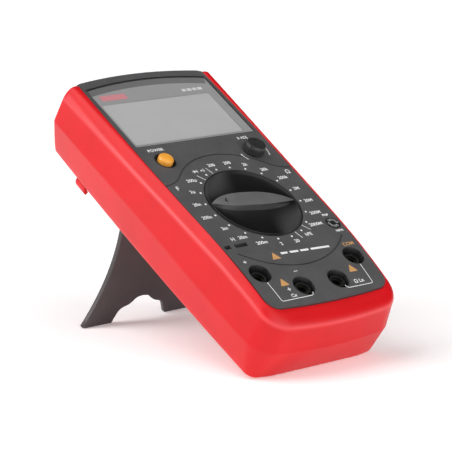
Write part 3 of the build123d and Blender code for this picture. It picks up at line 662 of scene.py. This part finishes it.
def make_holster():
    """The holster, with the stand's recess cut into its back."""
    # Colour of the painted highlight along the ridge.
    add_ridge_highlight(RUBBER, (0.95, 0.13, 0.14))
    skin = loose("holster_skin_cage", mesh_of(holster_bmesh(), "holster_cage"))
    cutter = bmesh.new()
    right = stand_side(RECESS_GAP) + [(FOOT_OUTER + RECESS_GAP, STAND_LENGTH + RECESS_GAP)]
    corners = [(x, HINGE_Y - y) for x, y in right + [(-x, y) for x, y in reversed(right)]]
    low = [cutter.verts.new(place(x, y, -2.0)) for x, y in corners]
    high = [cutter.verts.new(place(x, y, RECESS_LEVEL)) for x, y in corners]
    cutter.faces.new(low)
    cutter.faces.new(high[::-1])
    bridge(cutter, [low, high])
    tool = loose("recess_cutter", mesh_of(cutter, "recess_cutter"))
    mesh = evaluated(skin, ("SUBSURF", {"levels": 2, "render_levels": 2}),
                     ("BOOLEAN", {"object": tool, "operation": "DIFFERENCE", "solver": "EXACT"}))
    bpy.data.objects.remove(tool)
    for vertex in mesh.vertices:
        vertex.co.z = max(vertex.co.z, 0.0)
    bm = bmesh.new()
    bm.from_mesh(mesh)
    skin_mesh = mesh_of(bm, "holster_skin", 38)
    mark_ridge_highlight(skin_mesh)
    piece("holster_skin", skin_mesh, RUBBER, "meter", ["holster"])


def make_lead_clips():
    """Open rings on the holster's back, each of two prongs, that hold a test lead's tip."""
    bm = bmesh.new()
    for side in (-1, 1):
        for first, last in PRONGS:
            turns = [math.radians(first + (last - first) * step / 10) for step in range(11)]
            outline = [(side * CLIP_X + radius * math.cos(turn), CLIP_LEVEL + radius * math.sin(turn))
                       for radius, angles in ((CLIP_RADIUS, turns), (CLIP_BORE, turns[::-1]))
                       for turn in angles]
            rings = [[bm.verts.new(place(x, CLIP_Y + CLIP_LENGTH * step / 4, level))
                      for x, level in outline] for step in range(5)]
            bridge(bm, rings)
            for ring in (rings[0], rings[-1]):
                for index in range(len(outline) // 2 - 1):
                    bm.faces.new((ring[index], ring[index + 1], ring[-index - 2], ring[-index - 1]))
    mesh = evaluated(loose("clip_cage", mesh_of(bm, "clip_cage", 40)),
                     ("BEVEL", {"width": 0.0004, "segments": 3, "limit_method": "ANGLE"}))
    piece("holster_lead_clips", mesh, RUBBER, "meter")


# ---- Stand ----
HINGE = Vector(JOINTS["stand_hinge"]["pos_m"])
LEG_TURN = -100.0           # from the meter's own upward direction to the open stand's downward one
LEG_DOWN = Matrix.Rotation(math.radians(LEG_TURN), 3, "X") @ UP
LEG_OUT = RIGHT.cross(LEG_DOWN)
LEG = 67.8                  # from the hinge down to the table
STAND_BACK = -2.0           # level of the stand's inner face, from the plane through its hinge
PLATE = 2.8                 # its thickness, with ribs on its outer face
RIB_LEVEL, RIB_HEIGHT, RIB_WIDTH = 0.6, 1.4, 1.2
RIB_TOP, RIB_FOOT = 4.0, 52.0
RIM_INSET, FOOT_INSET = 3.2, 2.6
ARCH = ((16.2, 0.0), (15.1, 0.9), (14.2, 3.1), (12.5, 6.5), (10.4, 8.0), (7.6, 8.9), (5.4, 10.3),
        (3.2, 12.1), (0.0, 12.7))       # half of the opening between the feet: x, height
BARREL = ((-23.6, 1.2), (-23.4, 1.45), (-20.6, 1.45), (-20.5, 1.9), (-20.3, 2.1))   # x, radius


def on_leg(x, down, out):
    """Point on the stand, kept above the table."""
    spot = HINGE + (RIGHT * x + LEG_DOWN * down + LEG_OUT * out) * MM
    spot.z = max(spot.z, 0.0)
    return spot


def smoothed(points, steps=5):
    """Points along a smooth curve through some points."""
    spots = [Vector(point) for point in points]
    curve = []
    for index in range(len(spots) - 1):
        before, after = spots[max(index - 1, 0)], spots[min(index + 2, len(spots) - 1)]
        a, b = spots[index], spots[index + 1]
        for step in range(steps):
            t = step / steps
            lead, follow = (b - before) / 2, (after - a) / 2
            curve.append(tuple(a * (2 * t**3 - 3 * t**2 + 1) + lead * (t**3 - 2 * t**2 + t)
                               + b * (3 * t**2 - 2 * t**3) + follow * (t**3 - t**2)))
    return curve + [tuple(spots[-1])]


def mirrored(half):
    """Closed outline from its right half, which ends on the middle line."""
    return half + [(-x, y) for x, y in half[-2::-1]]


def make_stand():
    """Plate with ribs round and down its outer face, and the barrel that it turns on."""
    side = stand_side()
    arch = smoothed([(x, LEG - up) for x, up in ARCH])
    outline = mirrored(side + [(30.2, LEG)] + arch)
    plate = flat_mesh("stand_plate", [outline], PLATE, 0.6, STAND_BACK, on_leg)
    piece("stand_plate", plate, STAND, "stand", ["tilt_stand"])
    rim_foot = LEG - FOOT_INSET
    rim = [(STAND_HALF - RIM_INSET, RIB_TOP)] + [(x - RIM_INSET, y) for x, y in side[1:]]
    rim += [(28.0, rim_foot), (18.6, rim_foot)]
    rim += smoothed([(x + 2.2 if x else x, rim_foot - up) for x, up in ARCH[1:]])
    rim = mirrored(rim)
    routes = [rim + rim[:1]] + [[(x, RIB_FOOT), (x, RIB_TOP)] for x in (-7.0, 0.0, 7.0)]
    ribs = [flat_mesh("rib", [ribbon(route, RIB_WIDTH)], RIB_HEIGHT, 0.3, RIB_LEVEL, on_leg)
            for route in routes]
    piece("stand_ribs", joined("stand_ribs", ribs), STAND, "stand")
    bm = bmesh.new()
    profile = BARREL + tuple((-x, radius) for x, radius in BARREL[::-1])
    rings = [[bm.verts.new(on_leg(x, *spot)) for spot in disc((0.0, 0.0), radius, 24)]
             for x, radius in profile]
    bridge(bm, rings)
    for ring in (rings[0], rings[-1]):
        bm.faces.new(ring)
    piece("stand_barrel", mesh_of(bm, "stand_barrel", 40), STAND, "stand")


# ---- Display ----
LENS_HALF = 33.0
LENS_FOOT, LENS_HEAD, LENS_RISE = 114.7, 155.6, 3.6
LENS_BED = 34.85            # floor of the panel's recess for the lens
LENS_TOP = LENS_BED + 0.2
BEVEL_TOP = 35.75
GLASS_BOX = (-31.0, 117.0, 28.6, 145.6)     # left, foot, right, head


def lens_loop(side=0.1, foot=0.1, head=0.1, steps=32):
    """Lens outline with its arched head, drawn in by a margin on each edge."""
    half = LENS_HALF - side
    arch_x, arch_y, arch_r = circle_through((-LENS_HALF, LENS_HEAD), (0, LENS_HEAD + LENS_RISE),
                                            (LENS_HALF, LENS_HEAD))
    arch = []
    for step in range(steps + 1):
        x = half - 2 * half * step / steps
        arch.append((x, arch_y + math.sqrt(arch_r**2 - (x - arch_x)**2) - head))
    return [(-half, LENS_FOOT + foot), (half, LENS_FOOT + foot)] + arch


def level_plane(height):
    """Placing function for flat_mesh at a fixed level."""
    return lambda x, y, z: place(x, y, height + z)


def ring_between(name, outer, outer_level, inner, inner_level, skirt):
    """Sloped ring from one outline down to another with as many points, closed below."""
    bm = bmesh.new()
    loops = [[bm.verts.new(place(x, y, height)) for x, y in loop]
             for loop, height in ((outer, outer_level), (inner, inner_level), (inner, skirt),
                                  (outer, skirt))]
    bridge(bm, loops, closed=True)
    return mesh_of(bm, name, 20)


def make_display():
    """Sunk field inside a dark bevel, with the glass, a badge and its four ticks."""
    field = lens_loop(0.9, 0.25, 3.4)
    bevel = ring_between("display_bevel", lens_loop(), BEVEL_TOP, field, LENS_TOP, LENS_BED)
    piece("display_bevel", bevel, LENS_DARK, "meter")
    window = rounded_box(*GLASS_BOX, 1.2)
    border = flat_mesh("display_border", [field, window[::-1]], LENS_TOP - LENS_BED, 0.0, 0.0,
                       level_plane(LENS_BED))
    piece("display_border", border, LENS, "meter", ["display_lens"])
    left, foot, right, head = GLASS_BOX
    rim = rounded_box(left - 0.6, foot - 0.6, right + 0.6, head + 0.6, 1.6)
    shade = flat_mesh("display_shade", [rim, window[::-1]], 0.03, 0.0, 0.0, level_plane(LENS_TOP))
    piece("display_shade", shade, LCD_FRAME, "meter")
    glass = flat_mesh("display_glass", [window], 0.18, 0.0, 0.0, level_plane(LENS_BED))
    piece("display_glass", glass, LCD, "meter")
    badge = rounded_box(-28.6, 148.4, -14.6, 152.2, 0.6)
    piece("badge_bar", flat_mesh("badge_bar", [badge], INK, 0.0, 0.0, level_plane(LENS_TOP)),
          RED_PRINT, "meter")
    ticks = []
    for x, width in ((16.2, 2.2), (19.0, 2.6), (22.2, 2.2), (25.0, 2.6)):
        bar = rounded_box(x, 148.6, x + width, 150.4, 0.4)
        ticks.append(flat_mesh("tick", [bar], INK, 0.0, 0.0, level_plane(LENS_TOP)))
    piece("badge_ticks", joined("badge_ticks", ticks), GREY_PRINT, "meter")
    # Painted shade: a black strip round the lens, where the recess wall beside it lies in shade.
    edge_shade_loops = [lens_loop(-0.3, -0.15, -0.75), lens_loop(0.0, 0.0, 0.0)[::-1]]
    edge_shade = flat_mesh("display_edge_shade", edge_shade_loops, INK, 0.0, 0.0, level_plane(FACE))
    piece("display_edge_shade", edge_shade, BLACK, "meter")


# ---- Selector knob ----
KNOB_R = 21.9
KNOB_TURN = 99.0
DISH_R = 20.7
GRIP_TOP = 38.5
DISH_EDGE = 36.3
DISH_FLOOR = 35.25
DISH_UNDERSIDE = 35.13
DIMPLE_SHARE = 0.66         # how far the pointer's dimple is from the middle, of the dish's radius


def grip_half_width(u):
    """Half width of the grip's top: pointed ahead, blunter behind."""
    share = u / DISH_R
    body = 4.3 * max(1 - share * share, 0.0)
    if share < 0:
        body = 4.3 * max(1 - share**4, 0.0)**0.9
    return max(body, 0.02)


def knob_point(u, v, height):
    """u runs along the grip towards the pointer, v to its left."""
    turn = math.radians(KNOB_TURN)
    along = Vector((math.sin(turn), math.cos(turn)))
    side = Vector((-along.y, along.x))
    spot = Vector(DIAL) + along * u + side * v
    return place(spot.x, spot.y, height)


def add_sheen(material):
    """Painted highlight: lighter colour at opposite ends of the knob's two scoops, where they turn up to
    the light.
    """
    nodes, links = material.node_tree.nodes, material.node_tree.links
    shader = nodes["Principled BSDF"]
    where = nodes.new("ShaderNodeTexCoord")
    middle = nodes.new("ShaderNodeVectorMath")
    middle.operation = "SUBTRACT"
    middle.inputs[1].default_value = place(*DIAL, FACE)
    links.new(where.outputs["Object"], middle.inputs[0])
    parts = []
    for start, end in (((0, 0), (1000, 0)), ((0, 0), (0, 1000))):
        dot = nodes.new("ShaderNodeVectorMath")
        dot.operation = "DOT_PRODUCT"
        dot.inputs[1].default_value = knob_point(*end, FACE) - knob_point(*start, FACE)
        links.new(middle.outputs["Vector"], dot.inputs[0])
        parts.append(dot)
    product = nodes.new("ShaderNodeMath")
    product.operation = "MULTIPLY"
    for part, socket in zip(parts, product.inputs):
        links.new(part.outputs["Value"], socket)
    amount = nodes.new("ShaderNodeMapRange")
    amount.interpolation_type = "SMOOTHSTEP"
    amount.inputs["From Min"].default_value = -0.00002
    amount.inputs["From Max"].default_value = -0.00017
    links.new(product.outputs["Value"], amount.inputs["Value"])
    blend = nodes.new("ShaderNodeMix")
    blend.data_type = "RGBA"
    links.new(amount.outputs["Result"], blend.inputs["Factor"])
    links.new(shader.inputs["Base Color"].links[0].from_socket, blend.inputs["A"])
    # Colour of the painted highlight at the scoops' ends.
    blend.inputs["B"].default_value = (0.055, 0.053, 0.055, 1.0)
    links.new(blend.outputs["Result"], shader.inputs["Base Color"])


def make_knob():
    """Round knob with a scoop each side of its grip bar."""
    bm = bmesh.new()
    rows = []
    steps = 72
    for step in range(steps + 1):
        u = -DISH_R * math.cos(math.pi * step / steps)
        edge = math.sqrt(max(DISH_R**2 - u * u, 0.0))
        width = min(grip_half_width(u), edge * 0.9)
        foot = min(width + 1.1, edge * 0.97)
        fade = max(1 - (u / DISH_R)**6, 0.0)
        crown = DISH_EDGE + (GRIP_TOP - DISH_EDGE) * max(1 - (u / DISH_R)**2, 0.0)**0.6
        low = DISH_EDGE - (DISH_EDGE - DISH_FLOOR) * fade
        row = []
        for sign in (-1, 1):
            side = []
            for share in (1.0, 0.95, 0.88, 0.8, 0.7, 0.6, 0.5, 0.4, 0.3, 0.2, 0.1, 0.0):
                sweep = 0.45 * share**2.2 + 0.55 * (1 - share)**2.6
                ends = 0.45 + 0.10 * share
                height = low + (DISH_EDGE - low) * (sweep / ends if share == 1.0 else sweep / 0.55)
                side.append((sign * (foot + (edge - foot) * share),
                             min(height, DISH_EDGE + 0.2 * fade)))
            side[0] = (sign * edge, DISH_EDGE)
            wall = side[-1][1]
            side += [(sign * (foot * 0.6 + width * 0.4), wall + 0.35 * (crown - wall)),
                     (sign * (foot * 0.2 + width * 0.8), wall + 0.82 * (crown - wall)),
                     (sign * width, crown - 0.16 * fade), (sign * (width - 0.12 * fade), crown)]
            row += side if sign < 0 else ([(0.0, crown + 0.10 * fade)] + side[::-1])
        rows.append([bm.verts.new(knob_point(u, v, height)) for v, height in row])
    middle = len(rows[0]) // 2
    for low, high in zip(rows, rows[1:]):
        for index in range(len(low) - 1):
            face = bm.faces.new((low[index], low[index + 1], high[index + 1], high[index]))
            face.material_index = 1 if index in (middle - 1, middle) else 0
    bmesh.ops.remove_doubles(bm, verts=bm.verts, dist=2e-6)
    rim = [edge for edge in bm.edges if edge.is_boundary]
    wall = bmesh.ops.extrude_edge_only(bm, edges=rim)["geom"]
    for vertex in [item for item in wall if isinstance(item, bmesh.types.BMVert)]:
        vertex.co -= OUT * (DISH_EDGE - DISH_UNDERSIDE) * MM
    foot = [item for item in wall if isinstance(item, bmesh.types.BMEdge) and item.is_boundary]
    bmesh.ops.contextual_create(bm, geom=foot)
    top = mesh_of(bm, "knob_top", 32)
    profile = [(0.0, DISH_UNDERSIDE - 0.01), (DISH_R - 0.05, DISH_UNDERSIDE - 0.01),
               (DISH_R - 0.05, DISH_EDGE - 0.5), (DISH_R - 0.02, DISH_EDGE),
               (DISH_R + 0.25, DISH_EDGE + 0.1),
               (DISH_R + 0.55, DISH_EDGE - 0.05), (DISH_R + 0.65, DISH_EDGE - 0.45),
               (KNOB_R - 0.2, DISH_EDGE - 0.55), (KNOB_R, DISH_EDGE - 0.85), (KNOB_R, 35.1),
               (KNOB_R - 0.4, 35.0), (0.0, 35.0)]
    skirt = mesh_of(lathe(profile, DIAL, 160), "knob_skirt", 35)
    add_sheen(DISH_PAINTED_SHADE)
    # Scoops and grip walls take the painted-shade copy of the knob plastic, the grip's top the
    # painted-light copy.
    piece("selector_grip", joined("selector_grip", [top, skirt]), [DISH_PAINTED_SHADE, KNOB_TOP_PAINTED_LIGHT], "selector",
          ["selector_knob"])
    dimple_top = DISH_EDGE + (GRIP_TOP - DISH_EDGE) * (1 - DIMPLE_SHARE**2)**0.6
    ring = [(0.0, dimple_top + 0.02), (0.7, dimple_top + 0.04), (0.95, dimple_top + 0.12),
            (1.2, dimple_top + 0.04), (1.25, dimple_top - 0.3), (0.0, dimple_top - 0.3)]
    center = around(-DISH_R * DIMPLE_SHARE, KNOB_TURN)
    piece("grip_dimple", mesh_of(lathe(ring, center, 32), "grip_dimple", 40), BLACK, "selector")


# ---- Power button and zero knob ----
POWER = (-24.6, 103.8)
ZERO = (23.0, 101.7)
ZERO_RIBS = 24
ZERO_LEVELS = ((36.35, 4.7, 0.0), (36.55, 4.9, 0.0), (37.1, 4.85, 0.6), (39.0, 4.72, 1.0),
               (39.9, 4.55, 0.8), (40.35, 4.25, 0.2), (40.58, 3.7, 0.0), (40.5, 3.0, 0.0),
               (40.45, 1.5, 0.0))       # level, radius, how deep the ribs are


def make_power_button():
    """Domed cap in a raised ring."""
    profile = [(3.5, 33.0), (3.5, 37.1), (3.36, 37.6), (3.0, 37.95), (2.4, 38.18), (1.6, 38.32),
               (0.8, 38.38), (0.0, 38.4)]
    bm = lathe([(0.0, 33.0)] + profile, POWER, 64)
    piece("power_cap", mesh_of(bm, "power_cap", 60), ORANGE, "power", ["power_button"])
    ring = [(4.15, 35.2), (4.15, 35.95), (4.3, 36.12), (4.75, 36.16), (5.0, 36.0), (5.0, 35.5)]
    piece("power_ring", mesh_of(lathe(ring, POWER, 64), "power_ring", 40), BLACK, "meter")


def make_zero_knob():
    """Knob with a fluted side and a dark pip on top."""
    bm = bmesh.new()
    steps = ZERO_RIBS * 6
    rings = [[bm.verts.new(place(*ZERO, 36.35))]]
    for height, radius, rib in ZERO_LEVELS:
        ring = []
        for step in range(steps):
            swell = math.cos(2 * math.pi * step / 6) * 0.08 * rib
            ring.append(bm.verts.new(place(*around(radius + swell, 360 * step / steps, ZERO), height)))
        rings.append(ring)
    rings.append([bm.verts.new(place(*ZERO, 40.43))])
    bridge(bm, rings)
    cap = mesh_of(bm, "zero_cap", 50)
    piece("zero_cap", cap, KNOB, "zero_adjust", ["zero_knob"])
    spot = around(2.3, 20, ZERO)
    pip = lathe([(0.0, 40.0), (0.62, 40.0), (0.62, 40.50), (0.5, 40.53), (0.0, 40.53)], spot, 24)
    piece("zero_pip", mesh_of(pip, "zero_pip", 50), BLACK, "zero_adjust")


# ---- Sockets ----
SOCKETS = ((-25.8, 29.6), (-9.5, 19.2), (9.5, 19.2), (25.8, 29.6))
TRANSISTOR = (29.5, 49.6)
TRANSISTOR_TOP = 36.2
SLEEVE_FOOT = 28.7
SLEEVE = ((5.06, None), (5.06, 0.12), (4.9, 0.05), (4.7, 0.3), (4.7, None))


def make_socket_sleeves():
    """Black sleeves that line the panel's four round wells.

    SLEEVE is each one's section: a radius, and a drop below the face, or none at its foot.
    """
    sleeves = []
    for center in SOCKETS:
        rings = []
        for radius, drop in SLEEVE:
            rings.append([place(x, y, SLEEVE_FOOT) if drop is None else on_face(x, y, -drop)
                          for x, y in disc(center, radius, 64)])
        bm = bmesh.new()
        bridge(bm, [[bm.verts.new(spot) for spot in ring] for ring in rings], closed=True)
        sleeves.append(mesh_of(bm, "sleeve", 40))
    piece("socket_sleeves", joined("socket_sleeves", sleeves), BLACK, "meter")


def make_transistor_marks():
    """Raised rim and the pale edges of the pin holes on the transistor socket."""
    rim = lathe([(2.9, TRANSISTOR_TOP), (2.95, TRANSISTOR_TOP + 0.1), (3.2, TRANSISTOR_TOP + 0.12),
                 (3.3, TRANSISTOR_TOP)], TRANSISTOR, 48)
    piece("transistor_rim", mesh_of(rim, "transistor_rim", 40), BLACK, "meter")
    edges = []
    for start in (-30, 150):
        for step in range(4):
            hole = around(2.1, start + 40 * step, TRANSISTOR)
            loops = [disc(hole, 0.62), disc(hole, 0.46)[::-1]]
            edges.append(flat_mesh("edge", loops, INK, 0.0, 0.0, level_plane(TRANSISTOR_TOP)))
    piece("transistor_holes", joined("transistor_holes", edges), GREY_PRINT, "meter")


# ---- Printed marks ----
POSITIONS = 20
DOT_CIRCLE, NUMBER_CIRCLE = 23.9, 27.1
DIAL_NUMBERS = ("200", "2k", "20k", "200k", "2M", "20M", "200M", "2000M", "hFE", "20", "2", "200m", "20m",
                "2m", "200n", "20n", "2\u00b5", "200\u00b5")     # clockwise, from just right of the top
WORDS = (("POWER", (-24.8, 111.3), 2.4), ("0 ADJ", (23.6, 111.4), 2.3), ("PNP", (29.4, 55.2), 1.9),
         ("NPN", (29.6, 44.7), 1.9), ("+", (-28.7, 36.8), 3.4), ("\u2013", (-8.3, 27.4), 3.6),
         ("+", (-17.8, 18.6), 3.6), ("Cx", (-17.6, 15.3), 2.4), ("\u03a9 Lx", (18.8, 16.0), 2.6))
UNITS = (("\u03a9", (30.8, 85.4), 3.4), ("F", (-30.2, 85.6), 3.4), ("H", (-25.4, 50.6), 2.8))
TRIANGLES = ((-18.2, 22.7), (19.8, 22.9), (-12.4, 37.1))
TRIANGLE_SIZE = 2.3
DASHES = ((-8.6, -5.0), (-3.7, 0.8), (1.9, 6.3), (7.5, 17.6))


def print_piece(name, meshes, ink=PRINT):
    """One piece of several printed marks."""
    piece(name, joined(name, meshes), ink, "meter")


def make_dial_print():
    step_turn = 360 / POSITIONS
    print_piece("dial_dots", marks([[disc(around(DOT_CIRCLE, (step + 0.5) * step_turn), 0.5)]
                                    for step in range(POSITIONS)]))
    numbers = []
    for step, words in enumerate((DIAL_NUMBERS[0], *DIAL_NUMBERS)):
        angle = (step - 0.5) * step_turn
        x, y = around(NUMBER_CIRCLE, angle)
        x += (len(words) - 1) * 0.55 * math.sin(math.radians(angle))
        numbers.append(text_mesh(words, (x, y), 2.6))
    print_piece("dial_numbers", numbers)
    print_piece("dial_units", [text_mesh(*unit) for unit in UNITS])
    lines = []
    for angle in (-36, -18, 144, 162):
        lines.append([ribbon(split_line(around(22.6, angle), around(26.9, angle)), 0.28)])
    print_piece("dial_separators", marks(lines + symbol_loops()))


def symbol_loops():
    """Diode and beeper symbols in the dial's gap."""
    x, y = around(27.4, -27)
    shapes = [[[(x - 3.2, y - 0.9), (x - 1.5, y), (x - 3.2, y + 0.9)]],
              [ribbon([(x - 1.4, y - 1.0), (x - 1.4, y + 1.0)], 0.28)],
              [ribbon([(x - 4.0, y), (x - 0.6, y)], 0.2)],
              [disc((x + 0.9, y), 0.4)]]
    for radius in (0.95, 1.55):
        arc = [around(radius, 50 + 80 * step / 8, (x + 0.9, y)) for step in range(9)]
        shapes.append([ribbon(arc, 0.25)])
    return shapes


def arrow_head(tip, angle, size):
    """Small triangle pointing along a clockwise angle."""
    return [around(size, angle, tip), around(size * 0.7, angle + 120, tip),
            around(size * 0.7, angle - 120, tip)]


def make_panel_print():
    print_piece("panel_words", [text_mesh(*word) for word in WORDS])
    brackets = []
    for side, inner in ((-1, 8.2), (1, 10.9)):
        corners = [(side * 25.7, 24.3), (side * 25.1, 14.2), (side * 24.5, 13.6),
                   (side * (inner + 0.7), 13.6), (side * inner, 14.0), (side * (inner - 0.6), 15.2)]
        route = [corners[0]]
        for start, end in zip(corners, corners[1:]):
            route += split_line(start, end)[1:]
        brackets.append([ribbon(route, 0.3)])
    for first, last, head in ((52, 116, 206), (232, 262, 150)):
        arc = [around(7.6, first + (last - first) * step / 12, ZERO) for step in range(13)]
        brackets.append([ribbon(arc, 0.32)])
        brackets.append([arrow_head(arc[-1], head, 0.9)])
    print_piece("panel_lines", marks(brackets))
    triangles = []
    for x, y in TRIANGLES:
        foot = y - TRIANGLE_SIZE * 0.75
        corners = [(x - TRIANGLE_SIZE, foot), (x + TRIANGLE_SIZE, foot), (x, y + TRIANGLE_SIZE)]
        triangles.append([rounded(corners, 0.25, 3)])
    print_piece("panel_triangles", marks(triangles) + [text_mesh("COM", (28.0, 36.3), 2.7)],
                ORANGE_PRINT)
    dashes = [[ribbon(split_line((start, 37.7 - 0.04 * start), (end, 37.7 - 0.04 * end)), 1.1)]
              for start, end in DASHES]
    print_piece("panel_dashes", marks(dashes))


paint_nodes()
make_camera()
make_stage()
make_holster()
make_lead_clips()
make_stand()
make_display()
make_knob()
make_power_button()
make_zero_knob()
make_socket_sleeves()
make_transistor_marks()
make_dial_print()
make_panel_print()
